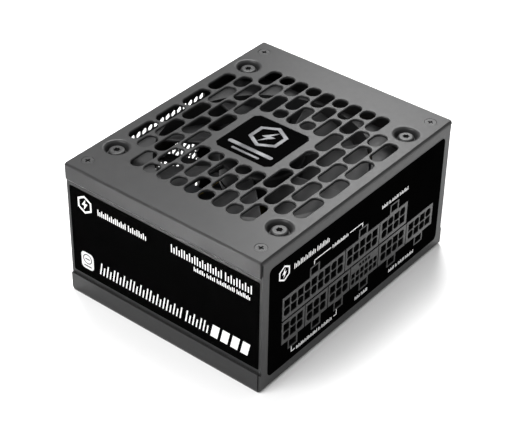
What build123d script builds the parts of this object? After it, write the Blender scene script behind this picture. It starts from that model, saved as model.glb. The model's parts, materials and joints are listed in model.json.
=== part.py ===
from build123d import *
from math import cos, radians, sin
import os

# A modular SFX desktop power supply: a two-shell sheet steel casing with a 92 mm fan under a slotted
# grille, nine output sockets in the front panel, and a mains inlet, a rocker switch and a honeycomb
# vent in the rear panel.  The row's frame is in millimetres: X runs across the 125 mm width, Y from the
# sockets (-Y, front) to the mains inlet (+Y, rear), and Z up from the underside.

# ---- driving dimensions -------------------------------------------------------------------------
WIDTH = 125.0                # casing, across the sockets
DEPTH = 100.0                # casing, front panel to rear panel
HEIGHT = 63.5                # casing
SHEET = 1.0                  # steel sheet thickness
GAP = 0.1                    # daylight between two nested sheets
BEND = 1.0                   # centre-line radius of a sheet bend

LOWER_LIP = 9.0              # height of the base's lips outside the cover's walls
UPPER_LIP = 7.3              # height of the cover's full-width band above the step in its walls
STEP_RUN = 1.2               # height over which the cover's wall steps inwards
PANEL_TOP = 61.8             # top edge of the base's front and rear panels

GRILLE_PITCH_X = 16.4
GRILLE_PITCH_Y = 7.0
SLOT_LENGTH = 15.0
SLOT_WIDTH = 5.85
SLOT_EDGE = 0.3              # broken edge round each slot
END_SLOT = 6.9               # length of the short slots that end every other row
GRILLE_REACH = 46.2          # half-width of the slotted field
CORNER_REACH = 34.7          # half-width of its two outer rows, clear of the fan screws
BADGE_REACH = 17.2           # half-width of the plain middle that carries the badge

BADGE = 28.0                 # side of the badge plate
BADGE_CHAMFER = 2.0
BADGE_DEPTH = 0.55           # how far the badge is let into the cover
BADGE_THICK = 0.35
EMBLEM_THICK = 0.18

FAN_SIZE = 92.0
FAN_THICK = 15.0
FAN_PAD = 1.9                # how far its corners stand above the rest of its upper flange
FAN_FLANGE = 2.4
FAN_HOLES = 82.5             # square of its mounting holes
FAN_BORE = 44.2              # radius of the air passage
FAN_BLADES = 7
BLADE_TURN = -17.0           # degrees from the X axis to the first blade's root, at rest
# radius, chord, thickness, pitch in degrees, and how far the blade is swept forward
BLADE_STATIONS = [(16.5, 14.0, 1.5, 38, 0.0), (29.0, 25.0, 1.4, 21, 3.6), (44.5, 36.5, 1.3, 14, 9.0)]
HUB_RADIUS = 17.5
TIP_RADIUS = 43.0
SHAFT_RADIUS = 1.5
SHAFT_CLEARANCE = 0.03
SLEEVE_RADIUS = 3.0
TUBE_RADIUS = 4.2            # the frame's middle tube, which the motor's core is pushed over
FAN_SCREW_RADIUS = 2.1
FAN_HEAD = 2.0               # height of a fan screw's head
BOARD_HEAD = 1.8

DIMPLE_RIM = 5.3             # radius of a fan-screw dimple at the middle of the sheet
DIMPLE_FLOOR = 4.5
DIMPLE_HOLE = 2.3
DIMPLE_CUT = 6.3             # where the pressed cone runs out into the flat plate
DIMPLE_DEPTH = 3.0
DIMPLE_BEND = 0.9

COVER_SCREW_X = 55.2
COVER_SCREW_Y = 43.7
COVER_HEAD = 2.4             # radius of a cover screw's countersunk head
COVER_SHANK = 1.25
COVER_SINK = 1.3             # depth of the formed countersink
TAB_X = (49.5, 60.2)         # the base's inner tabs that take the cover screws
TAB_INNER = 38.0

PIN_PITCH = 4.2              # power sockets
SENSE_PITCH = 3.0            # the 12 V graphics socket
SOCKET_HEIGHT = 11.0
SOCKET_PROUD = 0.5           # how far a socket stands out of the front panel
SOCKET_GAP = 0.5             # between neighbouring sockets
SOCKET_LEFT = -50.1          # left end of both rows
UPPER_ROW_Z = 34.0
LOWER_ROW_Z = 22.2
MODULAR_BOARD_Y = (-36.8, -35.2)
CATCH_WIDTH = 6.0
CATCH_HEIGHT = 4.6
CATCH_DEPTH = 8.0
MOUTH_EDGE = 0.15            # broken edge round each cavity

MOUNT_X = 113.0              # rectangle of the rear mounting holes
MOUNT_Z = 51.5
MOUNT_RADIUS = 1.42          # tapping size of a 6-32 thread
MOUNT_COLLAR = 2.75
MOUNT_COLLAR_LENGTH = 2.0

INLET_X = 35.0
INLET_Z = 18.2
SWITCH_X = 35.0
SWITCH_Z = 38.0
ROCKER_TILT = 10.0           # the rocker's lean to either side of level

VENT_CELL = 3.1              # across the flats of a honeycomb cell
VENT_PITCH = 3.6
VENT_X = (-56.0, 22.0)
VENT_Z = (6.9, 56.9)
VENT_SCREW_CLEAR = (8.0, 7.0)
VENT_INLET_CLEAR = (18.5, 10.0)      # beside the inlet's middle, and above the switch's

BOARD_X = (-57.0, 57.0)      # main circuit board
BOARD_Y = (-34.0, 47.0)
BOARD_Z = (7.0, 8.6)
BOARD_SCREWS = [(x, y) for x in (-53.0, 53.0) for y in (-29.5, 42.5)]

LABEL_THICK = 0.15
SIDE_LABEL = (97.0, 42.2, 0.7)       # length, height and corner radius
SOCKET_LABEL = (115.4, 52.0, 2.2)

WIRE = 0.9                   # width and thickness of a choke's wire
PFC_CHOKE = (28.0, 1.0, 10.0, 5.4, 11.0)             # x, y, outer and inner radius, height
FILTER_CHOKE = (31.0, 21.0, 7.4, 3.9, 8.0)
OUTPUT_CHOKE = (-41.0, 26.0, 9.6, 5.0, 9.0)
MAIN_TRANSFORMER = (-8.0, 11.0, 30.0, 27.0, 30.0)    # x, y, width, depth, height
STANDBY_TRANSFORMER = (-9.0, -22.0, 17.0, 15.0, 15.0)
BULK_CAPACITOR = (28.0, -21.0, 10.5, 34.0)           # x, y, radius, height
PRIMARY_SINK_X = 11.0
SECONDARY_SINK_X = -27.0
SINK_THICK = 2.0

# ---- places worked out from them ----------------------------------------------------------------
HALF_W = WIDTH / 2
HALF_D = DEPTH / 2
FRONT = -HALF_D
WALL_OUT = HALF_W - SHEET - GAP                  # outer face of the cover's recessed walls
SHEET_MIDDLE = SHEET / 2
PLATE_UNDER = HEIGHT - SHEET
STEP_TOP = HEIGHT - UPPER_LIP
FAN_TOP = HEIGHT - DIMPLE_DEPTH - SHEET
FAN_LOW = FAN_TOP - FAN_THICK
RING_TOP = FAN_TOP - FAN_PAD
TAB_TOP = PANEL_TOP
TAB_LOW = TAB_TOP - SHEET
BOARD_TOP = BOARD_Z[1]
PIVOT_Y = HALF_D - 2.8       # the rocker's axis, inside the rear panel
HUB_SEAT = FAN_LOW + 2.0     # top of the disc that carries the motor
ROTOR_LOW = FAN_LOW + 3.2
ROTOR_TOP = RING_TOP - 0.6
POST_TOP = ROTOR_TOP - 4.4   # top of the fan's middle tube
CAVITY_FLOOR = FRONT - SOCKET_PROUD + 10.5
FAN_CORNERS = [(x * FAN_HOLES / 2, y * FAN_HOLES / 2) for x in (-1, 1) for y in (-1, 1)]
COVER_CORNERS = [(x * COVER_SCREW_X, y * COVER_SCREW_Y) for x in (-1, 1) for y in (-1, 1)]
MOUNT_HOLES = [(x * MOUNT_X / 2, HEIGHT / 2 + z * MOUNT_Z / 2) for x in (-1, 1) for z in (-1, 1)]


# ---- drawing helpers ----------------------------------------------------------------------------
def block(x, y, z):
    """A box between three (low, high) pairs."""
    middle = Pos((x[0] + x[1]) / 2, (y[0] + y[1]) / 2, (z[0] + z[1]) / 2)
    return middle * Box(x[1] - x[0], y[1] - y[0], z[1] - z[0])


def post(radius, z, at=(0, 0)):
    """An upright cylinder."""
    return Pos(at[0], at[1], (z[0] + z[1]) / 2) * Cylinder(radius, z[1] - z[0])


def tube(outer, inner, z, at=(0, 0)):
    return post(outer, z, at) - post(inner, z, at)


def bolt_hole(radius, y, x, z):
    """A cylinder lying along Y."""
    return Pos(x, (y[0] + y[1]) / 2, z) * Rot(90, 0, 0) * Cylinder(radius, y[1] - y[0])


def across_x(profile, x):
    """A profile drawn in (Y, Z), drawn out between two X."""
    return extrude(Plane.YZ.offset(x[0]) * profile, amount=x[1] - x[0])


def across_y(profile, y):
    """A profile drawn in (X, Z), drawn out between two Y."""
    return extrude(Plane.XZ.offset(-y[1]) * profile, amount=y[1] - y[0])


def bent_sheet(points, radius=BEND, thickness=SHEET):
    """The section of a sheet folded along a centre line."""
    return trace(FilletPolyline(*points, radius=radius), line_width=thickness)


def mirrored(points):
    """An open profile of the right half, completed by its mirror image."""
    return [(-x, z) for x, z in points] + [(x, z) for x, z in reversed(points)]


def cross_recess(size, depth, top):
    """The cutter of a Phillips recess whose mouth is at a height."""
    arm = block((-size / 2, size / 2), (-0.35, 0.35), (top - depth, top + 0.1))
    return arm + Rot(0, 0, 90) * arm


def star_recess(radius, depth, top):
    """The cutter of a six-lobed recess whose mouth is at a height."""
    lobes = Circle(radius * 0.78) + [Rot(0, 0, 60 * turn) * Pos(radius * 0.72, 0) * Circle(radius * 0.28)
                                     for turn in range(6)]
    return extrude(Plane.XY.offset(top - depth) * lobes, amount=depth + 0.1)


def pan_screw(head_radius, head_height, radius, length, seat):
    """A pan-head blank that points down, the seat of its head at a height."""
    head = post(head_radius, (seat, seat + head_height))
    head = fillet(head.edges().group_by(Axis.Z)[-1], head_height * 0.45)
    return head + post(radius, (seat - length, seat))


def flat_screw(head_radius, head_height, radius, length, top):
    """A countersunk screw that points down, its head flush with a height."""
    cone = Pos(0, 0, top - head_height / 2) * Cone(radius, head_radius, head_height)
    return cone + post(radius, (top - length, top - head_height)) - cross_recess(head_radius, 0.8, top)


def solids_of(shapes):
    """Separate solids gathered in one node."""
    return Compound([solid for shape in shapes for solid in shape.solids()])


def save(name, shape):
    export_step(shape, "parts/" + name + ".step")


# ---- casing -------------------------------------------------------------------------------------
def half_row(staggered, reach, inner):
    """The right-hand slots of one row, as (low, high) pairs in X."""
    bar = GRILLE_PITCH_X - SLOT_LENGTH
    cuts = [GRILLE_PITCH_X * step for step in range(3)]
    if staggered:
        cuts = [cut + GRILLE_PITCH_X / 2 for cut in cuts[:2]] + [GRILLE_REACH - END_SLOT - bar / 2]
    spans = []
    for index, cut in enumerate(cuts):
        low = max(cut + bar / 2, inner)
        next_cut = cuts[index + 1] if index + 1 < len(cuts) else reach + bar / 2
        high = min(next_cut - bar / 2, reach)
        if high - low > SLOT_WIDTH:
            spans.append((low, high))
    return spans


def grille_slots():
    """The staggered slots of the grille: (x, y, length), whole in the field and cut short at its ends."""
    slots = []
    for row in range(-6, 7):
        y = row * GRILLE_PITCH_Y
        staggered = row % 2 == 1
        reach = CORNER_REACH if abs(row) >= 5 else GRILLE_REACH
        inner = BADGE_REACH if abs(row) <= 2 else 0.0
        for low, high in half_row(staggered, reach, inner):
            slots.append(((low + high) / 2, y, high - low))
            slots.append((-(low + high) / 2, y, high - low))
        if staggered and inner == 0.0:
            slots.append((0.0, y, SLOT_LENGTH))
    return slots


def dimple(x, y):
    """The pressed seat of a fan screw: the sheet keeps its thickness round a shallow cone."""
    plate = PLATE_UNDER + SHEET_MIDDLE
    floor = plate - DIMPLE_DEPTH
    line = [(DIMPLE_HOLE, floor), (DIMPLE_FLOOR, floor), (DIMPLE_RIM, plate), (DIMPLE_CUT, plate)]
    return Pos(x, y, 0) * revolve(Plane.XZ * bent_sheet(line, radius=DIMPLE_BEND), Axis.Z)


def badge_outline(side):
    return chamfer(Rectangle(side, side).vertices(), BADGE_CHAMFER)


def cover_hole(x, y):
    """A formed countersink: the sheet is pressed down on to the base's tab and cut to the cone."""
    boss = post(COVER_HEAD + 1.4, (TAB_TOP, HEIGHT - 0.2), (x, y))
    hole = COVER_SHANK + 0.2
    cone = Pos(x, y, HEIGHT - COVER_SINK / 2) * Cone(hole, COVER_HEAD + 0.2, COVER_SINK)
    return boss, cone + post(hole, (TAB_TOP - 1, HEIGHT), (x, y))


def top_cover():
    """The top plate with its grille, and both side walls, which step inwards behind the base's lips."""
    wall_line = WALL_OUT - SHEET_MIDDLE
    lip_line = HALF_W - SHEET_MIDDLE
    plate_line = HEIGHT - SHEET_MIDDLE
    walls = bent_sheet(mirrored([(wall_line, 1.6), (wall_line, STEP_TOP - STEP_RUN), (lip_line, STEP_TOP),
                                 (lip_line, plate_line)]), radius=0.6)
    lips = bent_sheet(mirrored([(lip_line, STEP_TOP), (lip_line, plate_line)]), radius=0.6)
    end_line = HALF_D - SHEET_MIDDLE
    rolled = bent_sheet(mirrored([(end_line, PANEL_TOP + GAP), (end_line, plate_line)]))
    inside = HALF_D - SHEET - GAP
    shell = across_y(walls, (-inside, inside))
    shell += across_y(lips, (-HALF_D + 0.7, HALF_D - 0.7))
    shell += across_x(rolled, (-HALF_W + 0.6, HALF_W - 0.6))

    openings = Sketch() + [Pos(x, y) * SlotOverall(length, SLOT_WIDTH) for x, y, length in grille_slots()]
    shell -= extrude(Plane.XY.offset(PLATE_UNDER - 1) * openings, amount=3)
    rims = [edge for edge in shell.edges().group_by(Axis.Z)[-1]
            if abs(edge.center().X) < GRILLE_REACH + 0.5 and abs(edge.center().Y) < GRILLE_REACH]
    shell = chamfer(rims, SLOT_EDGE)
    for x, y in FAN_CORNERS:
        shell -= post(DIMPLE_CUT, (PLATE_UNDER - 1, HEIGHT + 1), (x, y))
        shell += dimple(x, y)
    pressed = Plane.XY.offset(PLATE_UNDER - BADGE_DEPTH) * badge_outline(BADGE + 2)
    recess = Plane.XY.offset(HEIGHT - BADGE_DEPTH) * badge_outline(BADGE + 0.4)
    shell += extrude(pressed, amount=BADGE_DEPTH)
    shell -= extrude(recess, amount=BADGE_DEPTH)
    for x, y in COVER_CORNERS:
        boss, cutter = cover_hole(x, y)
        shell = shell + boss - cutter
    return shell


def vent_cells():
    """Centres of the honeycomb cells that stay clear of the inlet, the switch and the mounting holes."""
    row_step = VENT_PITCH * sin(radians(60))
    cells = []
    for row in range(int((VENT_Z[1] - VENT_Z[0]) / row_step)):
        z = VENT_Z[0] + row_step / 2 + row * row_step
        for column in range(int((VENT_X[1] - VENT_X[0]) / VENT_PITCH)):
            x = VENT_X[0] + VENT_PITCH / 2 + column * VENT_PITCH + (row % 2) * VENT_PITCH / 2
            by_screw = any(abs(x - hole_x) < VENT_SCREW_CLEAR[0] and abs(z - hole_z) < VENT_SCREW_CLEAR[1]
                           for hole_x, hole_z in MOUNT_HOLES)
            by_inlet = x > INLET_X - VENT_INLET_CLEAR[0] and z < SWITCH_Z + VENT_INLET_CLEAR[1]
            if not by_screw and not by_inlet and x < VENT_X[1]:
                cells.append((x, z))
    return cells


def base_tray():
    """The bottom with its side lips and the front and rear panels, folded from one sheet."""
    panel_line = HALF_D - SHEET_MIDDLE
    panels = bent_sheet(mirrored([(panel_line, PANEL_TOP), (panel_line, SHEET_MIDDLE)]))
    lip_line = HALF_W - SHEET_MIDDLE
    lips = bent_sheet(mirrored([(lip_line, LOWER_LIP), (lip_line, SHEET_MIDDLE)]), radius=0.8)
    inside = HALF_D - SHEET - GAP
    tray = across_x(panels, (-WALL_OUT, WALL_OUT))
    band = bent_sheet(mirrored([(panel_line, LOWER_LIP - 0.4), (panel_line, SHEET_MIDDLE)]))
    tray += across_x(band, (-HALF_W + 0.4, HALF_W - 0.4))
    tray += across_y(lips, (-inside, inside))
    for side in (-1, 1):
        for end in (-1, 1):
            tab_x = sorted((side * TAB_X[0], side * TAB_X[1]))
            tab_y = sorted((end * panel_line, end * TAB_INNER))
            tray += block(tab_x, tab_y, (TAB_LOW, TAB_TOP))
    for x, y in COVER_CORNERS:
        tray -= post(COVER_SHANK + 0.05, (TAB_LOW - 1, TAB_TOP + 1), (x, y))

    windows = Sketch() + [socket_outline(entry, 0.15) for entry in sockets()]
    tray -= across_y(windows, (FRONT - 1, FRONT + SHEET + 1))

    rear = (HALF_D - SHEET - 1, HALF_D + 1)
    cells = Sketch() + [Pos(x, z) * RegularPolygon(VENT_CELL / 2, 6, major_radius=False, rotation=30)
                        for x, z in vent_cells()]
    tray -= across_y(cells, rear)
    tray -= across_y(Pos(INLET_X, INLET_Z) * Rectangle(27.2, 19.4), rear)
    tray -= across_y(Pos(SWITCH_X, SWITCH_Z) * Rectangle(19.0, 12.8), rear)
    for x, z in MOUNT_HOLES:
        tray += bolt_hole(MOUNT_COLLAR, (HALF_D - SHEET - MOUNT_COLLAR_LENGTH, HALF_D - SHEET), x, z)
        tray -= bolt_hole(MOUNT_RADIUS, (HALF_D - 5, HALF_D + 1), x, z)
    for x, y in BOARD_SCREWS:
        tray -= post(2.1, (-1, SHEET + 1), (x, y))
    return tray


def cover_screws():
    screw = flat_screw(COVER_HEAD, COVER_SINK - 0.1, COVER_SHANK, 5.0, HEIGHT - 0.1)
    return solids_of([Pos(x, y, 0) * screw for x, y in COVER_CORNERS])


def badge_plate():
    floor = HEIGHT - BADGE_DEPTH
    return extrude(Plane.XY.offset(floor) * badge_outline(BADGE), amount=BADGE_THICK)


def badge_emblem():
    """A plain raised lightning bolt in a hexagon, over two bars."""
    floor = HEIGHT - BADGE_DEPTH + BADGE_THICK
    ring = RegularPolygon(8.2, 6) - RegularPolygon(6.3, 6)
    bolt = make_face(Polyline((5.0, -2.4), (-0.9, 2.6), (-0.9, 0.2), (-5.0, 2.0), (0.9, -2.9), (0.9, -0.5),
                              close=True))
    long_bar = Pos(-7.9, 0) * SlotOverall(22.5, 2.0, rotation=90)
    short_bar = Pos(-11.2, 0) * SlotOverall(14.0, 1.2, rotation=90)
    faces = [Pos(3.6, 0) * ring, Pos(3.6, 0) * bolt, long_bar, short_bar]
    return solids_of([extrude(Plane.XY.offset(floor) * face, amount=EMBLEM_THICK) for face in faces])


def side_label(side):
    """The printed label on a recessed wall: side is -1 on the left and 1 on the right."""
    x = sorted((side * WALL_OUT, side * (WALL_OUT + LABEL_THICK)))
    return across_x(Pos(0, 32.0) * RectangleRounded(*SIDE_LABEL), x)


def socket_label():
    face = Pos(0, 31.5) * RectangleRounded(*SOCKET_LABEL)
    face -= [socket_outline(entry, 0.25) for entry in sockets()]
    return across_y(face, (FRONT - LABEL_THICK, FRONT))


# ---- output sockets -----------------------------------------------------------------------------
def sockets():
    """Every output socket: name, columns, pitch, side wall, row height, and which way its catch points."""
    upper = [("socket_main_18pin", 9, PIN_PITCH, 0.8), ("socket_main_10pin", 5, PIN_PITCH, 0.8),
             ("socket_cpu_1", 4, PIN_PITCH, 1.2)]
    lower = [("socket_drive_1", 3, PIN_PITCH, 0.8), ("socket_drive_2", 3, PIN_PITCH, 0.8),
             ("socket_drive_3", 3, PIN_PITCH, 0.8), ("socket_graphics_12v", 6, SENSE_PITCH, 0.4),
             ("socket_cpu_2", 4, PIN_PITCH, 1.2), ("socket_cpu_3", 4, PIN_PITCH, 1.2)]
    placed = []
    for row, z, up in ((upper, UPPER_ROW_Z, 1), (lower, LOWER_ROW_Z, -1)):
        x = SOCKET_LEFT
        for name, columns, pitch, wall in row:
            width = columns * pitch + 2 * wall
            placed.append((name, columns, pitch, width, x + width / 2, z, up))
            x += width + SOCKET_GAP
    return placed


def socket_outline(entry, margin):
    """The face of a socket and its catch, in (X, Z)."""
    name, columns, pitch, width, x, z, up = entry
    body = Pos(x, z) * Rectangle(width + 2 * margin, SOCKET_HEIGHT + 2 * margin)
    catch_z = z + up * (SOCKET_HEIGHT / 2 + CATCH_HEIGHT / 2 - 0.2)
    catch = Pos(x, catch_z) * Rectangle(CATCH_WIDTH + 2 * margin, CATCH_HEIGHT + 0.4 + 2 * margin)
    return body + catch


def cavities(entry):
    """Centres of a socket's contact cavities and their size."""
    name, columns, pitch, width, x, z, up = entry
    size = pitch - 0.7
    row_pitch = pitch if pitch == PIN_PITCH else SENSE_PITCH + 0.1
    middle = z if pitch == PIN_PITCH else z - 1.2
    return [(x + (c - (columns - 1) / 2) * pitch, middle + r * row_pitch / 2, size)
            for c in range(columns) for r in (-1, 1)]


def sense_cavities(entry):
    """The four small signal cavities over the graphics socket."""
    name, columns, pitch, width, x, z, up = entry
    if pitch == PIN_PITCH:
        return []
    return [(x + (c - 1.5) * 2.0, z + 3.6, 1.3) for c in range(4)]


def socket(entry):
    """A housing whose cavities open to the front, with the hooded catch that its plug's latch grips."""
    name, columns, pitch, width, x, z, up = entry
    front = FRONT - SOCKET_PROUD
    body = across_y(socket_outline(entry, 0.0), (front, front + CATCH_DEPTH))
    body += across_y(Pos(x, z) * Rectangle(width, SOCKET_HEIGHT), (front + 1, MODULAR_BOARD_Y[0]))
    holes = Sketch()
    for index, (cx, cz, size) in enumerate(cavities(entry)):
        keyed = (index // 2 + index) % 2 == 0
        shape = chamfer(Rectangle(size, size).vertices(), size * 0.22) if keyed else Rectangle(size, size)
        holes += Pos(cx, cz) * shape
    for cx, cz, size in sense_cavities(entry):
        holes += Pos(cx, cz) * Rectangle(size, size)
    body -= across_y(holes, (front - 1, CAVITY_FLOOR))
    notch = Rectangle(CATCH_WIDTH - 1.6, CATCH_HEIGHT - 1.4)
    notch_z = z + up * (SOCKET_HEIGHT / 2 + CATCH_HEIGHT / 2)
    body -= across_y(Pos(x, notch_z) * notch, (front - 1, front + 5))
    mouths = [edge for wire in body.faces().sort_by(Axis.Y)[0].inner_wires() for edge in wire.edges()]
    return chamfer(mouths, MOUTH_EDGE)


def socket_contacts():
    """The tinned pins that stand in the cavities."""
    pins = []
    for entry in sockets():
        for x, z, size in cavities(entry):
            half = 0.55 if size > 3 else 0.4
            pins.append(block((x - half, x + half), (FRONT + 2.5, CAVITY_FLOOR), (z - half, z + half)))
        for x, z, size in sense_cavities(entry):
            pins.append(block((x - 0.25, x + 0.25), (FRONT + 2.5, CAVITY_FLOOR), (z - 0.25, z + 0.25)))
    return solids_of(pins)


def modular_board():
    return block((-55.0, 55.0), MODULAR_BOARD_Y, (3.0, 43.9))


def board_links():
    """Copper angles that carry the outputs from the main board to the socket board."""
    links = []
    for step in range(5):
        x = (-50.0 + 14.0 * step, -44.0 + 14.0 * step)
        upright = block(x, (MODULAR_BOARD_Y[1], MODULAR_BOARD_Y[1] + 1.0), (BOARD_TOP, 17.0))
        foot = block(x, (MODULAR_BOARD_Y[1] + 1.0, -31.0), (BOARD_TOP, BOARD_TOP + 1.0))
        links.append(upright + foot)
    return solids_of(links)


# ---- mains inlet and switch ---------------------------------------------------------------------
def inlet_housing():
    """A snap-in three-pole mains inlet: its hollow takes the cord's connector."""
    flange = across_y(Pos(INLET_X, INLET_Z) * RectangleRounded(31.0, 24.0, 2.5), (HALF_D, HALF_D + 2.4))
    body = across_y(Pos(INLET_X, INLET_Z) * Rectangle(26.8, 19.0), (30.0, HALF_D))
    mouth = Rectangle(24.2, 16.4)
    mouth = chamfer(mouth.vertices().group_by(Axis.Y)[-1], 4.2)
    mouth = fillet(mouth.vertices().group_by(Axis.Y)[0], 1.0)
    return flange + body - across_y(Pos(INLET_X, INLET_Z) * mouth, (34.0, HALF_D + 4))


def inlet_pins():
    """Live, neutral and earth blades."""
    blades = [(-7.0, -1.6), (7.0, -1.6), (0.0, 2.6)]
    return solids_of([block((INLET_X + x - 1, INLET_X + x + 1), (34.0, HALF_D - 0.5),
                            (INLET_Z + z - 2, INLET_Z + z + 2)) for x, z in blades])


def switch_housing():
    """The bezel and the case of the rocker switch."""
    bezel = across_y(Pos(SWITCH_X, SWITCH_Z) * RectangleRounded(21.0, 14.8, 1.5), (HALF_D, HALF_D + 1.8))
    case = across_y(Pos(SWITCH_X, SWITCH_Z) * Rectangle(18.8, 12.6), (36.0, HALF_D))
    hollow = across_y(Pos(SWITCH_X, SWITCH_Z) * Rectangle(17.8, 10.6), (38.5, HALF_D + 4))
    pivots = Pos(SWITCH_X, PIVOT_Y, SWITCH_Z) * Cylinder(1.05, 12.2)
    return bezel + case - hollow - pivots


def switch_terminals():
    return solids_of([block((SWITCH_X + x - 2.4, SWITCH_X + x + 2.4), (28.5, 36.0),
                            (SWITCH_Z - 0.4, SWITCH_Z + 0.4)) for x in (-5.0, 5.0)])


def switch_rocker():
    """The see-saw button, modelled leaning over on to its O side, with its two pivot studs."""
    reach = 8.55
    disc = Circle(reach)
    keep = Pos(0, 1.6) * Rectangle(2 * reach, 9.2)
    face = Polyline((-8.6, 6.4), (0, 4.4), (8.6, 6.4), (8.6, 12), (-8.6, 12), close=True)
    section = disc & keep
    section -= make_face(face)
    button = extrude(section, amount=5.0, both=True)
    button += Cylinder(1.0, 12.0)
    hollow = extrude(Pos(0, -1.6) * Rectangle(11.0, 3.0), amount=3.6, both=True)
    return Pos(SWITCH_X, PIVOT_Y, SWITCH_Z) * Rot(0, 0, -ROCKER_TILT) * (button - hollow)


# ---- fan ----------------------------------------------------------------------------------------
def fan_frame():
    """Two square flanges round a tube, with raised corner pads and four struts to the motor seat."""
    flange = RectangleRounded(FAN_SIZE, FAN_SIZE, 4.0) - Circle(FAN_BORE)
    flange -= [Pos(x, y) * Circle(FAN_SCREW_RADIUS + 0.05) for x, y in FAN_CORNERS]
    pads = Sketch() + [Pos(x, y) * Circle(6.5) for x, y in FAN_CORNERS]
    frame = extrude(Plane.XY.offset(RING_TOP - FAN_FLANGE) * flange, amount=FAN_FLANGE)
    frame += extrude(Plane.XY.offset(RING_TOP) * (flange & pads), amount=FAN_PAD)
    frame += extrude(Plane.XY.offset(FAN_LOW) * flange, amount=FAN_FLANGE)
    frame += tube(FAN_SIZE / 2 - 0.1, FAN_BORE, (FAN_LOW, RING_TOP))
    frame += post(HUB_RADIUS, (FAN_LOW, HUB_SEAT))
    for turn in range(4):
        strut = block((HUB_RADIUS - 1, FAN_BORE + 0.8), (-1.7, 1.7), (FAN_LOW, HUB_SEAT))
        frame += Rot(0, 0, 20 + 90 * turn) * strut
    frame += post(TUBE_RADIUS, (HUB_SEAT, POST_TOP))
    return frame - post(SLEEVE_RADIUS, (FAN_LOW + 1.0, RING_TOP))


def fan_bearing():
    """The sleeve in the frame's middle tube."""
    return tube(SLEEVE_RADIUS, SHAFT_RADIUS + SHAFT_CLEARANCE, (FAN_LOW + 1.8, POST_TOP))


def fan_stator():
    """A laminated core with four wound poles, pushed over the middle tube."""
    core = post(6.0, (HUB_SEAT + 1.6, HUB_SEAT + 7.4))
    for turn in range(4):
        pole = block((5.0, 12.6), (-2.0, 2.0), (HUB_SEAT + 2.6, HUB_SEAT + 6.4))
        coil = block((7.0, 11.0), (-3.6, 3.6), (HUB_SEAT + 1.8, HUB_SEAT + 7.2))
        shoe = Rot(0, 0, -28) * tube_sector(13.4, 12.2, (HUB_SEAT + 2.6, HUB_SEAT + 6.4), 56)
        core += Rot(0, 0, 90 * turn) * (pole + coil + shoe)
    return core - post(TUBE_RADIUS, (HUB_SEAT, HUB_SEAT + 9))


def tube_sector(outer, inner, z, angle):
    """Part of a ring, from the X axis round to an angle."""
    ring = tube(outer, inner, z)
    reach = outer * 2
    edge = (reach * cos(radians(angle)), reach * sin(radians(angle)))
    wedge = make_face(Polyline((0, 0), (reach, 0), edge, close=True))
    return ring & extrude(Plane.XY.offset(z[0]) * wedge, amount=z[1] - z[0])


def fan_board():
    return tube(13.0, TUBE_RADIUS, (HUB_SEAT, HUB_SEAT + 1.2))


def fan_shaft():
    return post(SHAFT_RADIUS, (FAN_LOW + 2.0, ROTOR_TOP - 0.8))


def fan_magnet():
    return tube(HUB_RADIUS - 1.5, HUB_RADIUS - 3.2, (ROTOR_LOW + 0.6, ROTOR_LOW + 7.6))


def blade_section(z, radius, chord, thickness, pitch, lead):
    """A blade's cross-section at one of its stations: a thin rounded plate, leaning by its pitch."""
    plane = Plane(origin=(radius, lead, z), x_dir=(0, 1, 0), z_dir=(1, 0, 0))
    return plane * RectangleRounded(chord, thickness, thickness * 0.45, rotation=pitch)


def fan_rotor():
    """The cup-shaped hub with its swept blades."""
    middle = (ROTOR_LOW + ROTOR_TOP) / 2 - 0.3
    hub = post(HUB_RADIUS, (ROTOR_LOW, ROTOR_TOP))
    hub = fillet(hub.edges().group_by(Axis.Z)[-1], 1.2)
    hub -= post(HUB_RADIUS - 1.5, (ROTOR_LOW - 1, ROTOR_TOP - 1.6))
    hub += post(3.2, (ROTOR_TOP - 4.0, ROTOR_TOP - 1.0))
    hub -= post(SHAFT_RADIUS, (ROTOR_LOW - 1, ROTOR_TOP - 0.8))
    blade = loft([blade_section(middle, *station) for station in BLADE_STATIONS])
    blade &= tube(TIP_RADIUS, HUB_RADIUS - 0.6, (ROTOR_LOW - 0.6, ROTOR_TOP + 0.2))
    for turn in range(FAN_BLADES):
        hub += Rot(0, 0, BLADE_TURN + 360 / FAN_BLADES * turn) * blade
    return hub


def fan_screws():
    """Self-tapping screws through the cover's dimples into the fan's upper flange."""
    seat = HEIGHT - DIMPLE_DEPTH
    screw = pan_screw(3.4, FAN_HEAD, FAN_SCREW_RADIUS, 6.0, seat) - star_recess(1.45, 1.5, seat + FAN_HEAD)
    return solids_of([Pos(x, y, 0) * screw for x, y in FAN_CORNERS])


# ---- electronics --------------------------------------------------------------------------------
def main_board():
    board = block(BOARD_X, BOARD_Y, BOARD_Z)
    for x, y in BOARD_SCREWS:
        board -= post(1.6, (BOARD_Z[0] - 1, BOARD_TOP + 1), (x, y))
    return board


def insulation_sheet():
    sheet = block((-58.5, 58.5), (-46.0, 47.5), (SHEET, SHEET + 0.3))
    for x, y in BOARD_SCREWS:
        sheet -= post(3.2, (SHEET - 1, SHEET + 1), (x, y))
    return sheet


def board_standoffs():
    """Hexagonal standoffs clinched into the bottom."""
    hexagon = RegularPolygon(2.5, 6, major_radius=False)
    posts = []
    for x, y in BOARD_SCREWS:
        body = Pos(x, y, SHEET) * extrude(hexagon, amount=BOARD_Z[0] - SHEET)
        body += post(2.1, (0.1, SHEET), (x, y))
        posts.append(body - post(1.3, (2.0, BOARD_Z[0] + 1), (x, y)))
    return solids_of(posts)


def board_screws():
    screw = pan_screw(2.8, BOARD_HEAD, 1.28, 6.0, BOARD_TOP)
    screw -= cross_recess(2.8, 1.3, BOARD_TOP + BOARD_HEAD)
    return solids_of([Pos(x, y, 0) * screw for x, y in BOARD_SCREWS])


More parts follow.
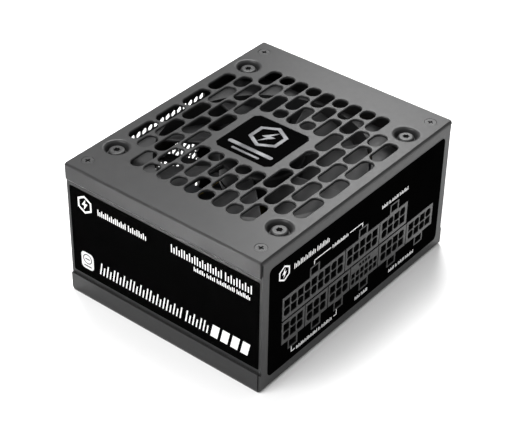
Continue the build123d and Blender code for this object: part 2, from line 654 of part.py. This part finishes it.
def electrolytic(x, y, radius, height):
    """A can on end: a rolled groove near its foot and a scored cross on its top."""
    top = BOARD_TOP + height
    can = post(radius, (BOARD_TOP, top), (x, y))
    can = fillet(can.edges().group_by(Axis.Z)[-1], 0.6)
    groove = tube(radius + 1, radius - 0.35, (BOARD_TOP + 1.6, BOARD_TOP + 2.4), (x, y))
    score = block((-radius * 0.6, radius * 0.6), (-0.15, 0.15), (top - 0.3, top + 1))
    return can - groove - Pos(x, y, 0) * (score + Rot(0, 0, 90) * score)


def ring_core(x, y, outer, inner, height):
    return tube(outer, inner, (BOARD_TOP + WIRE, BOARD_TOP + WIRE + height), (x, y))


def ring_winding(x, y, outer, inner, height, turns):
    """Separate square turns round a ring core: they grip its ends, and are slack on its curved walls."""
    low = BOARD_TOP + WIRE
    slack = 0.05
    loops = []
    for turn in range(turns):
        outside = block((inner - slack - WIRE, outer + slack + WIRE), (-WIRE / 2, WIRE / 2),
                        (low - WIRE, low + height + WIRE))
        inside = block((inner - slack, outer + slack), (-WIRE, WIRE), (low, low + height))
        loops.append(Pos(x, y, 0) * Rot(0, 0, 360 * turn / turns) * (outside - inside))
    return solids_of(loops)


def transformer_core(x, y, width, depth, height):
    """Two E-shaped ferrite halves seen as one frame with two windows."""
    low = BOARD_TOP
    frame = block((x - width / 2, x + width / 2), (y - depth / 4, y + depth / 4), (low, low + height))
    for side in (-1, 1):
        window = sorted((x + side * width * 0.17, x + side * width * 0.36))
        frame -= block(window, (y - depth, y + depth), (low + height * 0.16, low + height * 0.84))
    return frame


def transformer_coil(x, y, width, depth, height):
    """The taped winding round the middle limb."""
    low = BOARD_TOP
    z = (low + height * 0.18, low + height * 0.82)
    outer = block((x - width * 0.34, x + width * 0.34), (y - depth / 2, y + depth / 2), z)
    outer = fillet(outer.edges().filter_by(Axis.Z), 3.0)
    limb = block((x - width * 0.17, x + width * 0.17), (y - depth / 4, y + depth / 4), z)
    return outer - limb


def heatsink(x, y, z, fins, side):
    """An aluminium plate with short fins on one side."""
    plate = block((x - SINK_THICK / 2, x + SINK_THICK / 2), y, z)
    step = (y[1] - y[0]) / fins
    fin_x = sorted((x, x + side * 4.0))
    for fin in range(fins):
        at = y[0] + step * (fin + 0.5)
        plate += block(fin_x, (at - 0.6, at + 0.6), (z[0] + 8.0, z[1]))
    return plate


def transistor(sink_x, y, side):
    """A tabbed power package lying against the +X or -X face of a heatsink."""
    x = sink_x + side * SINK_THICK / 2
    body = block(sorted((x, x + side * 4.4)), (y - 5.0, y + 5.0), (BOARD_TOP + 6.0, BOARD_TOP + 15.0))
    tab = block(sorted((x, x + side * 1.3)), (y - 5.0, y + 5.0), (BOARD_TOP + 15.0, BOARD_TOP + 21.0))
    for leg in (-2.5, 0.0, 2.5):
        body += block(sorted((x + side * 1.8, x + side * 2.6)), (y + leg - 0.4, y + leg + 0.4),
                      (BOARD_TOP, BOARD_TOP + 6.0))
    return body + tab


def cased(x, y, z_height, radius=0.8):
    """A potted box-shaped component."""
    box = block(x, y, (BOARD_TOP, BOARD_TOP + z_height))
    return fillet(box.edges().filter_by(Axis.Z) + box.edges().group_by(Axis.Z)[-1], radius)


def y_capacitors():
    discs = [Pos(9.0 + 5.0 * step, 37.0, BOARD_TOP + 4.2) * Rot(0, 90, 0) * Cylinder(4.2, 2.6)
             for step in range(2)]
    return solids_of([fillet(disc.edges(), 0.8) for disc in discs])


def fuse():
    x, y, z = -8.0, 44.0, BOARD_TOP + 3.2
    glass = Pos(x, y, z) * Rot(0, 90, 0) * Cylinder(2.2, 12.0)
    for end in (x - 7.5, x + 7.5):
        glass += Pos(end, y, z) * Rot(0, 90, 0) * Cylinder(2.6, 5.0)
        glass += block((end - 0.4, end + 0.4), (y - 0.4, y + 0.4), (BOARD_TOP, BOARD_TOP + 2))
    return glass


def thermistor():
    disc = Pos(52.0, 35.5, BOARD_TOP + 5.2) * Rot(0, 90, 0) * Cylinder(5.2, 3.6)
    return fillet(disc.edges(), 1.0)


def output_capacitors():
    cans = [electrolytic(-53.0 + 8.2 * column, -21.0 + 8.6 * row, 3.9, 16.0) for column in range(3)
            for row in range(4)]
    return solids_of(cans)


def control_board():
    board = block((-19.0, 6.0), (-10.0, -8.8), (BOARD_TOP, BOARD_TOP + 20.0))
    chip = block((-11.0, -2.0), (-11.6, -10.0), (BOARD_TOP + 6, BOARD_TOP + 14))
    return board + chip


# ---- every node ---------------------------------------------------------------------------------
nodes = {
    "top_cover": top_cover(),
    "base_tray": base_tray(),
    "cover_screws": cover_screws(),
    "badge_plate": badge_plate(),
    "badge_emblem": badge_emblem(),
    "left_label": side_label(-1),
    "right_label": side_label(1),
    "socket_label": socket_label(),
    "socket_contacts": socket_contacts(),
    "modular_board": modular_board(),
    "board_links": board_links(),
    "inlet_housing": inlet_housing(),
    "inlet_pins": inlet_pins(),
    "switch_housing": switch_housing(),
    "switch_terminals": switch_terminals(),
    "switch_rocker": switch_rocker(),
    "fan_frame": fan_frame(),
    "fan_bearing": fan_bearing(),
    "fan_stator": fan_stator(),
    "fan_board": fan_board(),
    "fan_shaft": fan_shaft(),
    "fan_magnet": fan_magnet(),
    "fan_rotor": fan_rotor(),
    "fan_screws": fan_screws(),
    "main_board": main_board(),
    "insulation_sheet": insulation_sheet(),
    "board_standoffs": board_standoffs(),
    "board_screws": board_screws(),
    "bulk_capacitor": electrolytic(*BULK_CAPACITOR),
    "output_capacitors": output_capacitors(),
    "pfc_choke_core": ring_core(*PFC_CHOKE),
    "pfc_choke_winding": ring_winding(*PFC_CHOKE, turns=24),
    "filter_choke_core": ring_core(*FILTER_CHOKE),
    "filter_choke_winding": ring_winding(*FILTER_CHOKE, turns=12),
    "output_choke_core": ring_core(*OUTPUT_CHOKE),
    "output_choke_winding": ring_winding(*OUTPUT_CHOKE, turns=20),
    "main_transformer_core": transformer_core(*MAIN_TRANSFORMER),
    "main_transformer_coil": transformer_coil(*MAIN_TRANSFORMER),
    "standby_transformer_core": transformer_core(*STANDBY_TRANSFORMER),
    "standby_transformer_coil": transformer_coil(*STANDBY_TRANSFORMER),
    "primary_heatsink": heatsink(PRIMARY_SINK_X, (-30.0, 27.0), (BOARD_TOP, 42.0), 14, -1),
    "secondary_heatsink": heatsink(SECONDARY_SINK_X, (-28.0, 28.0), (BOARD_TOP, 38.0), 14, 1),
    "primary_transistors": solids_of([transistor(PRIMARY_SINK_X, y, 1) for y in (-24.0, 20.0)]),
    "secondary_transistors": solids_of([transistor(SECONDARY_SINK_X, y, -1) for y in (-20.0, 12.0)]),
    "bridge_rectifier": cased((40.0, 43.5), (-12.0, 10.0), 19.0, 0.6),
    "filter_capacitors": solids_of([cased((45.0, 55.0), y, 18.0) for y in ((-24.0, 1.0), (4.0, 29.0))]),
    "y_capacitors": y_capacitors(),
    "fuse": fuse(),
    "thermistor": thermistor(),
    "relay": cased((-18.0, 2.0), (29.0, 40.0), 15.0, 0.6),
    "control_board": control_board(),
}
for entry in sockets():
    nodes[entry[0]] = socket(entry)

os.makedirs("parts", exist_ok=True)
for name, shape in nodes.items():
    save(name, shape)
print(len(nodes), "nodes written")
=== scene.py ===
"""The looks of a modular desktop power supply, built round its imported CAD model."""
import json
import math

import bmesh
import bpy
from mathutils import Matrix, Vector


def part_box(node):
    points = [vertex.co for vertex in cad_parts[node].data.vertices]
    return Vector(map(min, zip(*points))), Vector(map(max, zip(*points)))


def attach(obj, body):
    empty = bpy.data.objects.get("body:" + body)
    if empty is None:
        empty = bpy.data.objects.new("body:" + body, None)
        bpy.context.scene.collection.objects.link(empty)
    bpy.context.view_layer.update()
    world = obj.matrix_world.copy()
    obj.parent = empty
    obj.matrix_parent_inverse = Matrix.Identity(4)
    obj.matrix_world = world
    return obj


MM = 0.001
HALF_DEPTH = 0.05            # of the casing between its front and rear panels

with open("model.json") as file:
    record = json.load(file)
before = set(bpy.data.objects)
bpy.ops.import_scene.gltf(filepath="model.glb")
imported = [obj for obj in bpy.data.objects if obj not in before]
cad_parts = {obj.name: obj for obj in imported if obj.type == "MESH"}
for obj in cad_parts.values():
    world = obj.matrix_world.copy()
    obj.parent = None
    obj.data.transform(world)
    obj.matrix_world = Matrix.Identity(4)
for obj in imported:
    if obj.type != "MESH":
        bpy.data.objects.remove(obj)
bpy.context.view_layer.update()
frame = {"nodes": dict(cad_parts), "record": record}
nodes = frame["nodes"]
CASE_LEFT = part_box("top_cover")[0][0]
CASE_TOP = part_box("top_cover")[1][2]

# ---- camera and studio --------------------------------------------------------------------------
AZIMUTH = -51.6              # degrees round the object: 0 looks at the sockets
ELEVATION = 36.2
ROLL = 1.05
DISTANCE = 630.0             # mm from the middle of the casing
LENS = 106.4                 # mm, on a sensor 36 mm wide
AIM = (-1.44, -3.60)         # mm right and up of the middle of the casing, in the view
FLOOR_SIZE = 6.0             # m
SKY_TONE = 0.68              # of the studio's pale walls above the horizon
LOW_TONE = 0.5               # and of what lies below it


def view_axes(azimuth, elevation, roll):
    """The camera's right, up and backward directions."""
    a, e, r = (math.radians(v) for v in (azimuth, elevation, roll))
    back = Vector((math.sin(a) * math.cos(e), -math.cos(a) * math.cos(e), math.sin(e)))
    right = Vector((math.cos(a), math.sin(a), 0))
    up = back.cross(right)
    return right * math.cos(r) + up * math.sin(r), up * math.cos(r) - right * math.sin(r), back


def add_camera():
    right, up, back = view_axes(AZIMUTH, ELEVATION, ROLL)
    middle = Vector((0, 0, CASE_TOP / 2))
    data = bpy.data.cameras.new("camera")
    data.lens = LENS
    data.clip_start = 0.01
    camera = bpy.data.objects.new("camera", data)
    place = middle + (right * AIM[0] + up * AIM[1] + back * DISTANCE) * MM
    camera.matrix_world = Matrix.Translation(place) @ Matrix((right, up, back)).transposed().to_4x4()
    bpy.context.collection.objects.link(camera)
    bpy.context.scene.camera = camera


def add_light(name, where, size, power, aim=(0.0, 0.0, 0.03), spread=math.pi):
    data = bpy.data.lights.new(name, "AREA")
    data.shape = "RECTANGLE"
    data.size, data.size_y = size
    data.energy = power
    data.spread = spread
    light = bpy.data.objects.new(name, data)
    light.location = where
    light.rotation_euler = (Vector(aim) - Vector(where)).to_track_quat("-Z", "Y").to_euler()
    bpy.context.collection.objects.link(light)


def add_world():
    """Even pale light from above the horizon, a little darker below it."""
    world = bpy.data.worlds.new("studio")
    world.use_nodes = True
    tree = world.node_tree
    tree.nodes.clear()
    coords = tree.nodes.new("ShaderNodeTexCoord")
    split = tree.nodes.new("ShaderNodeSeparateXYZ")
    ramp = tree.nodes.new("ShaderNodeValToRGB")
    for element, place, tone in zip(ramp.color_ramp.elements, (0.45, 0.62), (LOW_TONE, SKY_TONE)):
        element.position = place
        element.color = (tone, tone, tone, 1)
    shift = tree.nodes.new("ShaderNodeMapRange")
    shift.inputs["From Min"].default_value = -1
    background = tree.nodes.new("ShaderNodeBackground")
    output = tree.nodes.new("ShaderNodeOutputWorld")
    tree.links.new(coords.outputs["Generated"], split.inputs[0])
    tree.links.new(split.outputs["Z"], shift.inputs["Value"])
    tree.links.new(shift.outputs[0], ramp.inputs["Fac"])
    tree.links.new(ramp.outputs["Color"], background.inputs["Color"])
    tree.links.new(background.outputs[0], output.inputs["Surface"])
    bpy.context.scene.world = world


def add_floor():
    mesh = bpy.data.meshes.new("floor")
    half = FLOOR_SIZE / 2
    corners = [(-half, -half, 0), (half, -half, 0), (half, half, 0), (-half, half, 0)]
    mesh.from_pydata(corners, [], [(0, 1, 2, 3)])
    floor = bpy.data.objects.new("floor", mesh)
    bpy.context.collection.objects.link(floor)
    floor.data.materials.append(floor_paper())


# ---- material helpers ---------------------------------------------------------------------------
COAT_ROUGHNESS = 0.1


def principled(name, colour, roughness, metallic=0.0, specular=0.5, coat=0.0):
    """A new material with one Principled shader: returns it, its tree and the shader."""
    material = bpy.data.materials.new(name)
    material.use_nodes = True
    tree = material.node_tree
    shader = tree.nodes["Principled BSDF"]
    shader.inputs["Base Color"].default_value = (*colour, 1)
    shader.inputs["Roughness"].default_value = roughness
    shader.inputs["Metallic"].default_value = metallic
    shader.inputs["Specular IOR Level"].default_value = specular
    shader.inputs["Coat Weight"].default_value = coat
    shader.inputs["Coat Roughness"].default_value = COAT_ROUGHNESS
    return material, tree, shader


def noise(tree, scale, detail=2.0, stretch=(1, 1, 1)):
    """A noise texture in the object's own metres."""
    coords = tree.nodes.new("ShaderNodeTexCoord")
    mapping = tree.nodes.new("ShaderNodeMapping")
    mapping.inputs["Scale"].default_value = stretch
    texture = tree.nodes.new("ShaderNodeTexNoise")
    texture.inputs["Scale"].default_value = scale
    texture.inputs["Detail"].default_value = detail
    tree.links.new(coords.outputs["Object"], mapping.inputs["Vector"])
    tree.links.new(mapping.outputs["Vector"], texture.inputs["Vector"])
    return texture.outputs["Fac"]


def spread(tree, value, low, high):
    """A value between 0 and 1 taken to another range."""
    stretch = tree.nodes.new("ShaderNodeMapRange")
    stretch.inputs["From Min"].default_value = 0.3
    stretch.inputs["From Max"].default_value = 0.7
    stretch.inputs["To Min"].default_value = low
    stretch.inputs["To Max"].default_value = high
    tree.links.new(value, stretch.inputs["Value"])
    return stretch.outputs[0]


def mottle(tree, shader, value, dark, light):
    """The base colour wanders between two colours."""
    ramp = tree.nodes.new("ShaderNodeValToRGB")
    ramp.color_ramp.elements[0].position = 0.3
    ramp.color_ramp.elements[0].color = (*dark, 1)
    ramp.color_ramp.elements[1].position = 0.7
    ramp.color_ramp.elements[1].color = (*light, 1)
    tree.links.new(value, ramp.inputs["Fac"])
    tree.links.new(ramp.outputs["Color"], shader.inputs["Base Color"])


def bump(tree, shader, height, distance, strength=1.0):
    node = tree.nodes.new("ShaderNodeBump")
    node.inputs["Distance"].default_value = distance
    node.inputs["Strength"].default_value = strength
    tree.links.new(height, node.inputs["Height"])
    tree.links.new(node.outputs["Normal"], shader.inputs["Normal"])


def shade(colour, factor):
    return tuple(channel * factor for channel in colour)


def grained(name, colour, roughness, grain, depth, vary=0.12, **finish):
    """A surface with a fine grain, and a little wander in its colour and roughness."""
    material, tree, shader = principled(name, colour, roughness, **finish)
    drift = noise(tree, grain * 0.08, 4.0)
    mottle(tree, shader, drift, shade(colour, 1 - vary), shade(colour, 1 + vary))
    rough = spread(tree, noise(tree, grain * 0.2, 3.0), roughness * 0.88, roughness * 1.12)
    tree.links.new(rough, shader.inputs["Roughness"])
    bump(tree, shader, noise(tree, grain, 2.0), depth)
    return material


def brushed(name, colour, roughness, stretch, scale=900, depth=4e-6):
    """Metal with fine lines along one direction."""
    material, tree, shader = principled(name, colour, roughness, metallic=1.0)
    lines = noise(tree, scale, 3.0, stretch)
    mottle(tree, shader, lines, shade(colour, 0.88), shade(colour, 1.08))
    tree.links.new(spread(tree, lines, roughness * 0.75, roughness * 1.3), shader.inputs["Roughness"])
    bump(tree, shader, lines, depth)
    return material


def cast_metal(name, dark, light, roughness, patch):
    """Satin metal whose tone drifts in broad soft patches, with a fine grain."""
    material, tree, shader = principled(name, light, roughness, metallic=1.0)
    mottle(tree, shader, noise(tree, patch, 1.0), dark, light)
    rough = spread(tree, noise(tree, patch * 4, 2.0), roughness * 0.85, roughness * 1.15)
    tree.links.new(rough, shader.inputs["Roughness"])
    bump(tree, shader, noise(tree, 2600), 3e-6)
    return material


# ---- materials ----------------------------------------------------------------------------------
def floor_paper():
    material, tree, shader = principled("floor_paper", (0.86, 0.86, 0.86), 0.9, specular=0.1)
    mottle(tree, shader, noise(tree, 3.0), (0.85, 0.85, 0.85), (0.87, 0.87, 0.87))
    return material


def make_materials():
    return {
        "casing": grained("powder_coat", (0.019, 0.019, 0.0193), 0.33, 2600, 8e-6,
                          vary=0.07, specular=0.21),
        "black_screw": grained("blackened_steel", (0.021, 0.021, 0.0214), 0.34, 3000, 4e-6,
                               specular=0.27),
        "screw": grained("plated_screw", (0.5, 0.5, 0.5), 0.3, 2500, 4e-6, metallic=1.0),
        "badge": grained("badge_black", (0.0012, 0.0012, 0.0012), 0.4, 1500, 1e-6, specular=0.0),
        "emblem": cast_metal("emblem_metal", (0.05, 0.05, 0.053), (0.13, 0.131, 0.136), 0.32, 130),
        "label": grained("label_film", (0.001, 0.001, 0.001), 0.6, 1800, 2e-6, specular=0.0),
        "socket": grained("nylon", (0.004, 0.004, 0.004), 0.34, 2200, 5e-6, specular=0.36),
        "contact": grained("tin", (0.62, 0.6, 0.55), 0.3, 4000, 2e-6, metallic=1.0),
        "copper": brushed("copper_bar", (0.75, 0.38, 0.22), 0.35, (14, 1, 1)),
        "board": grained("solder_mask", (0.012, 0.05, 0.03), 0.38, 700, 1.5e-5, vary=0.35),
        "moulding": grained("moulded_plastic", (0.016, 0.016, 0.017), 0.48, 1900, 1e-5),
        "rocker": grained("rocker_plastic", (0.014, 0.014, 0.015), 0.25, 1500, 3e-6, coat=0.2),
        "fan_frame": grained("fan_plastic", (0.014, 0.014, 0.0144), 0.5, 1700, 8e-6, specular=0.2),
        "fan_rotor": grained("blade_plastic", (0.012, 0.012, 0.0124), 0.5, 1600, 3e-6, specular=0.15),
        "bronze": grained("sintered_bronze", (0.42, 0.25, 0.12), 0.45, 5000, 4e-6, metallic=1.0),
        "steel": brushed("ground_steel", (0.6, 0.6, 0.62), 0.18, (1, 1, 18)),
        "stator": grained("stator_copper", (0.5, 0.22, 0.1), 0.38, 3500, 1e-5, metallic=0.8),
        "magnet": grained("bonded_ferrite", (0.03, 0.03, 0.03), 0.7, 2600, 6e-6),
        "film": grained("insulating_film", (0.03, 0.03, 0.032), 0.55, 900, 4e-6),
        "standoff": brushed("plated_standoff", (0.55, 0.55, 0.56), 0.3, (1, 1, 10)),
        "can": grained("capacitor_sleeve", (0.012, 0.016, 0.035), 0.3, 1200, 2e-6, coat=0.3),
        "toroid": grained("toroid_coating", (0.02, 0.09, 0.06), 0.5, 1800, 1.5e-5, vary=0.2),
        "ferrite": grained("ferrite", (0.035, 0.035, 0.037), 0.55, 2400, 1.2e-5),
        "wire": grained("enamelled_wire", (0.48, 0.17, 0.06), 0.28, 3200, 3e-6, metallic=0.7),
        "tape": grained("winding_tape", (0.6, 0.42, 0.03), 0.4, 600, 8e-6, vary=0.15),
        "heatsink": brushed("extruded_aluminium", (0.5, 0.5, 0.52), 0.36, (1, 12, 1)),
        "package": grained("epoxy_package", (0.016, 0.016, 0.017), 0.45, 2800, 6e-6),
        "film_capacitor": grained("potted_box", (0.5, 0.33, 0.02), 0.4, 1500, 5e-6),
        "disc": grained("lacquered_disc", (0.02, 0.09, 0.3), 0.35, 1400, 8e-6),
        "fuse": grained("fuse_glass", (0.55, 0.58, 0.56), 0.12, 1500, 2e-6, coat=0.5),
        "relay": grained("relay_case", (0.01, 0.014, 0.022), 0.35, 1500, 3e-6),
    }


def dress_nodes(materials):
    slot_of = {part["node"]: part["material_slot"] for part in frame["record"]["subparts"]}
    for name, node in nodes.items():
        node.data.materials.clear()
        node.data.materials.append(materials[slot_of[name]])


# ---- printed graphics ---------------------------------------------------------------------------
INK_THICK = 0.03             # mm
SHORT = 0.7                  # height of a short stroke, as a share of a tall one's


class Face:
    """A flat printed face: u runs right and v runs down from its top left corner, in mm."""

    def __init__(self, corner, right, down, out):
        self.corner, self.right, self.down, self.out = (Vector(v) for v in (corner, right, down, out))

    def point(self, u, v, lift):
        return self.corner + (self.right * u + self.down * v + self.out * lift) * MM


def rounded_outline(u, v, width, height, radius, steps=4):
    """The outline of a rounded rectangle whose top left corner is at (u, v)."""
    radius = min(radius, width / 2, height / 2)
    corners = [(u + width - radius, v + radius, -90), (u + width - radius, v + height - radius, 0),
               (u + radius, v + height - radius, 90), (u + radius, v + radius, 180)]
    points = []
    for cu, cv, start in corners:
        for step in range(steps + 1):
            angle = math.radians(start + 90 * step / steps)
            points.append((cu + radius * math.cos(angle), cv + radius * math.sin(angle)))
    return points


def slanted_outline(u, v, width, height, slant):
    return [(u + slant, v), (u + width + slant, v), (u + width, v + height), (u, v + height)]


def ring_outlines(u, v, outer, line, sides, turn=0.0):
    """A regular ring round (u, v), as one quadrilateral for each of its sides."""
    shapes = []
    inner = outer - line
    for side in range(sides):
        low, high = (math.radians(turn + 360 * step / sides) for step in (side, side + 1))
        shapes.append([(u + radius * math.cos(angle), v + radius * math.sin(angle))
                       for radius, angle in ((inner, low), (outer, low), (outer, high), (inner, high))])
    return shapes


def print_shapes(name, face, outlines, material, body="chassis", base=0.0):
    """One thin piece of ink made of several closed outlines."""
    mesh = bmesh.new()
    for outline in outlines:
        low = [mesh.verts.new(face.point(u, v, base)) for u, v in outline]
        high = [mesh.verts.new(face.point(u, v, base + INK_THICK)) for u, v in outline]
        mesh.faces.new(high)
        mesh.faces.new(low[::-1])
        for index in range(len(outline)):
            after = (index + 1) % len(outline)
            mesh.faces.new((low[index], low[after], high[after], high[index]))
    bmesh.ops.remove_doubles(mesh, verts=mesh.verts, dist=1e-8)
    bmesh.ops.recalc_face_normals(mesh, faces=mesh.faces)
    data = bpy.data.meshes.new(name)
    mesh.to_mesh(data)
    mesh.free()
    piece = bpy.data.objects.new(name, data)
    piece.data.materials.append(material)
    bpy.context.collection.objects.link(piece)
    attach(piece, body)


def hatch(u, v, height, widths, pitch, line, gap, slant=0.0):
    """Groups of thin upright strokes of two heights, where a line of print would be."""
    strokes = []
    for width in widths:
        count = max(1, round((width - line) / pitch))
        for step in range(count + 1):
            drop = height * (1 - SHORT) if step % 5 in (1, 3) else 0.0
            across = u + step * (width - line) / count
            lean = slant * (1 - drop / height)
            strokes.append(slanted_outline(across, v + drop, line, height - drop, lean))
        u += width + gap
    return strokes


def hexagon_mark(u, v, size):
    """A plain lightning bolt in a hexagon round (u, v)."""
    bolt = [(0.12, -0.62), (-0.36, 0.10), (-0.05, 0.10), (-0.14, 0.62), (0.36, -0.14), (0.05, -0.14)]
    bolt = [(u + size * x, v + size * y) for x, y in bolt]
    return ring_outlines(u, v, size, size * 0.22, 6, 30) + [bolt]


def bracket(u_low, u_high, v_line, v_end, gap_low, gap_high, line=0.45):
    """A thin line with turned ends, open in its middle for a caption."""
    v_top, v_bottom = sorted((v_line, v_end))
    rise = v_bottom - v_top
    return [rounded_outline(u_low, v_top, line, rise, 0.1),
            rounded_outline(u_high - line, v_top, line, rise, 0.1),
            rounded_outline(u_low, v_line - line / 2, gap_low - u_low, line, 0.1),
            rounded_outline(gap_high, v_line - line / 2, u_high - gap_high, line, 0.1)]


def make_inks():
    return {"white": grained("white_ink", (0.8, 0.8, 0.8), 0.5, 1500, 2e-6, vary=0.03),
            "grey": grained("grey_ink", (0.42, 0.42, 0.43), 0.5, 1500, 2e-6, vary=0.03),
            "silver": grained("silver_foil", (0.6, 0.6, 0.6), 0.35, 1500, 2e-6, vary=0.06, metallic=0.5),
            "black": grained("black_ink", (0.01, 0.01, 0.01), 0.5, 1500, 2e-6, vary=0.06)}


def print_left_label(ink):
    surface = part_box("left_label")[0][0]
    face = Face((surface, HALF_DEPTH, CASE_TOP), (0, -1, 0), (0, 0, -1), (-1, 0, 0))
    brand = hexagon_mark(9.6, 16.6, 4.3) + hatch(16.6, 15.6, 2.9, (15.0, 9.4), 1.05, 0.5, 1.3)
    corner = hatch(55.2, 13.6, 3.9, (25.2, 12.8), 1.3, 0.5, 1.6) \
        + hatch(66.6, 18.8, 2.0, (5.4, 4.0, 8.6, 6.4), 0.8, 0.4, 1.0)
    bold = [slanted_outline(74.6 + 5.0 * step, 42.2, 3.5, 6.2, 1.4) for step in range(4)]
    print_shapes("left_print", face, brand + corner + bold, ink["white"])
    title = hatch(16.0, 42.2, 5.9, (43.4, 11.4), 1.75, 0.62, 2.3, 1.1)
    print_shapes("left_title", face, title, ink["white"])
    print_shapes("left_seal", face, [rounded_outline(5.9, 40.8, 6.8, 8.2, 1.8)], ink["silver"])
    seal = ring_outlines(9.3, 44.0, 2.5, 0.5, 16) + [rounded_outline(8.0, 43.7, 2.6, 0.6, 0.2),
                                                      rounded_outline(7.2, 47.2, 4.2, 0.7, 0.2)]
    print_shapes("left_seal_lines", face, seal, ink["black"], base=INK_THICK)


def print_right_label(ink):
    """A plain rating table: rules, column heads and short strokes in its cells."""
    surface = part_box("right_label")[1][0]
    face = Face((surface, -HALF_DEPTH, CASE_TOP), (0, 1, 0), (0, 0, -1), (1, 0, 0))
    columns = [6.0, 24.0, 38.0, 52.0, 66.0, 80.0, 94.0]
    rows = [25.0, 31.0, 37.0, 43.0, 49.0]
    rule = 0.3
    shapes = [rounded_outline(columns[0], v, columns[-1] - columns[0] + rule, rule, 0.05) for v in rows]
    shapes += [rounded_outline(u, rows[0], rule, rows[-1] - rows[0], 0.05) for u in columns]
    for row, v in enumerate(rows[:-1]):
        for column, u in enumerate(columns[:-1]):
            width = 10.5 if column == 0 else (6.4, 4.6, 7.4)[(row + column) % 3]
            shapes += hatch(u + 2.0, v + 2.2, 1.9, (width,), 0.85, 0.4, 0.0)
    shapes += hexagon_mark(10.4, 17.2, 4.3) + hatch(17.4, 15.6, 2.9, (15.0, 9.4), 1.05, 0.5, 1.3)
    shapes += hatch(60.0, 14.4, 2.0, (9.4, 6.6, 14.0), 0.8, 0.4, 1.2)
    shapes += hatch(60.0, 18.2, 2.0, (5.4, 11.6, 8.0), 0.8, 0.4, 1.2)
    print_shapes("right_print", face, shapes, ink["white"])


def print_socket_label(ink):
    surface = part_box("socket_label")[0][1]
    face = Face((CASE_LEFT, surface, CASE_TOP), (1, 0, 0), (0, 0, -1), (0, -1, 0))
    shapes = hexagon_mark(13.4, 12.4, 3.7) + hatch(19.4, 11.4, 2.5, (13.0, 7.6), 0.95, 0.45, 1.1)
    shapes += bracket(31.8, 63.4, 17.4, 20.0, 42.4, 54.6)
    shapes += hatch(43.4, 16.6, 1.7, (10.2,), 0.75, 0.4, 0.8)
    shapes += hatch(76.4, 16.6, 1.7, (4.0, 1.2, 4.2, 6.0), 0.75, 0.4, 0.9)
    shapes += bracket(19.0, 48.6, 54.4, 51.9, 21.6, 46.6)
    shapes += hatch(22.4, 53.6, 1.7, (13.4, 1.2, 6.6), 0.75, 0.4, 0.9)
    shapes += hatch(61.0, 53.6, 1.7, (3.4, 4.2), 0.75, 0.4, 0.9)
    shapes += hatch(84.6, 53.6, 1.7, (4.0, 1.2, 4.2, 6.0), 0.75, 0.4, 0.9)
    print_shapes("socket_print", face, shapes, ink["white"])


def print_rocker(ink):
    """The line and ring that mark the two ends of the switch, on the rocker's sloping faces."""
    node = nodes["switch_rocker"]
    low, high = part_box("switch_rocker")
    middle = (low[0] + high[0]) / 2
    marks = {"on": (-1, [rounded_outline(-0.3, -1.9, 0.6, 3.8, 0.1)]),
             "off": (1, ring_outlines(0, 0, 1.7, 0.5, 20))}
    for name, (side, shapes) in marks.items():
        half = [face for face in node.data.polygons if face.normal.y > 0.9
                and ((node.matrix_world @ face.center).x - middle) * side > 0]
        flat = max(half, key=lambda face: face.area)
        out = flat.normal.normalized()
        right = Vector((0, 0, 1)).cross(out).normalized() * -1
        down = out.cross(right).normalized() * -1
        face = Face(node.matrix_world @ flat.center, right, down, out)
        print_shapes("rocker_" + name, face, shapes, ink["white"], body="rocker")


# ---- the scene ----------------------------------------------------------------------------------
materials = make_materials()
dress_nodes(materials)
inks = make_inks()
print_left_label(inks)
print_right_label(inks)
print_socket_label(inks)
print_rocker(inks)

add_camera()
add_world()
add_floor()
add_light("key", (0.4, 0.4, 1.1), (0.5, 0.5), 17)
add_light("side", (-0.95, 0.25, 1.1), (1.0, 1.0), 20)
add_light("highlight", (0.346, 0.1755, 0.352), (0.14, 0.14), 0.62, aim=(0.005, -0.05, 0.0635))
add_light("bounce", (-0.22, 0.02, 0.35), (0.06, 0.06), 0.9, aim=(-0.22, 0.02, 0.0),
          spread=math.radians(34))
bpy.context.scene.view_settings.view_transform = "Standard"
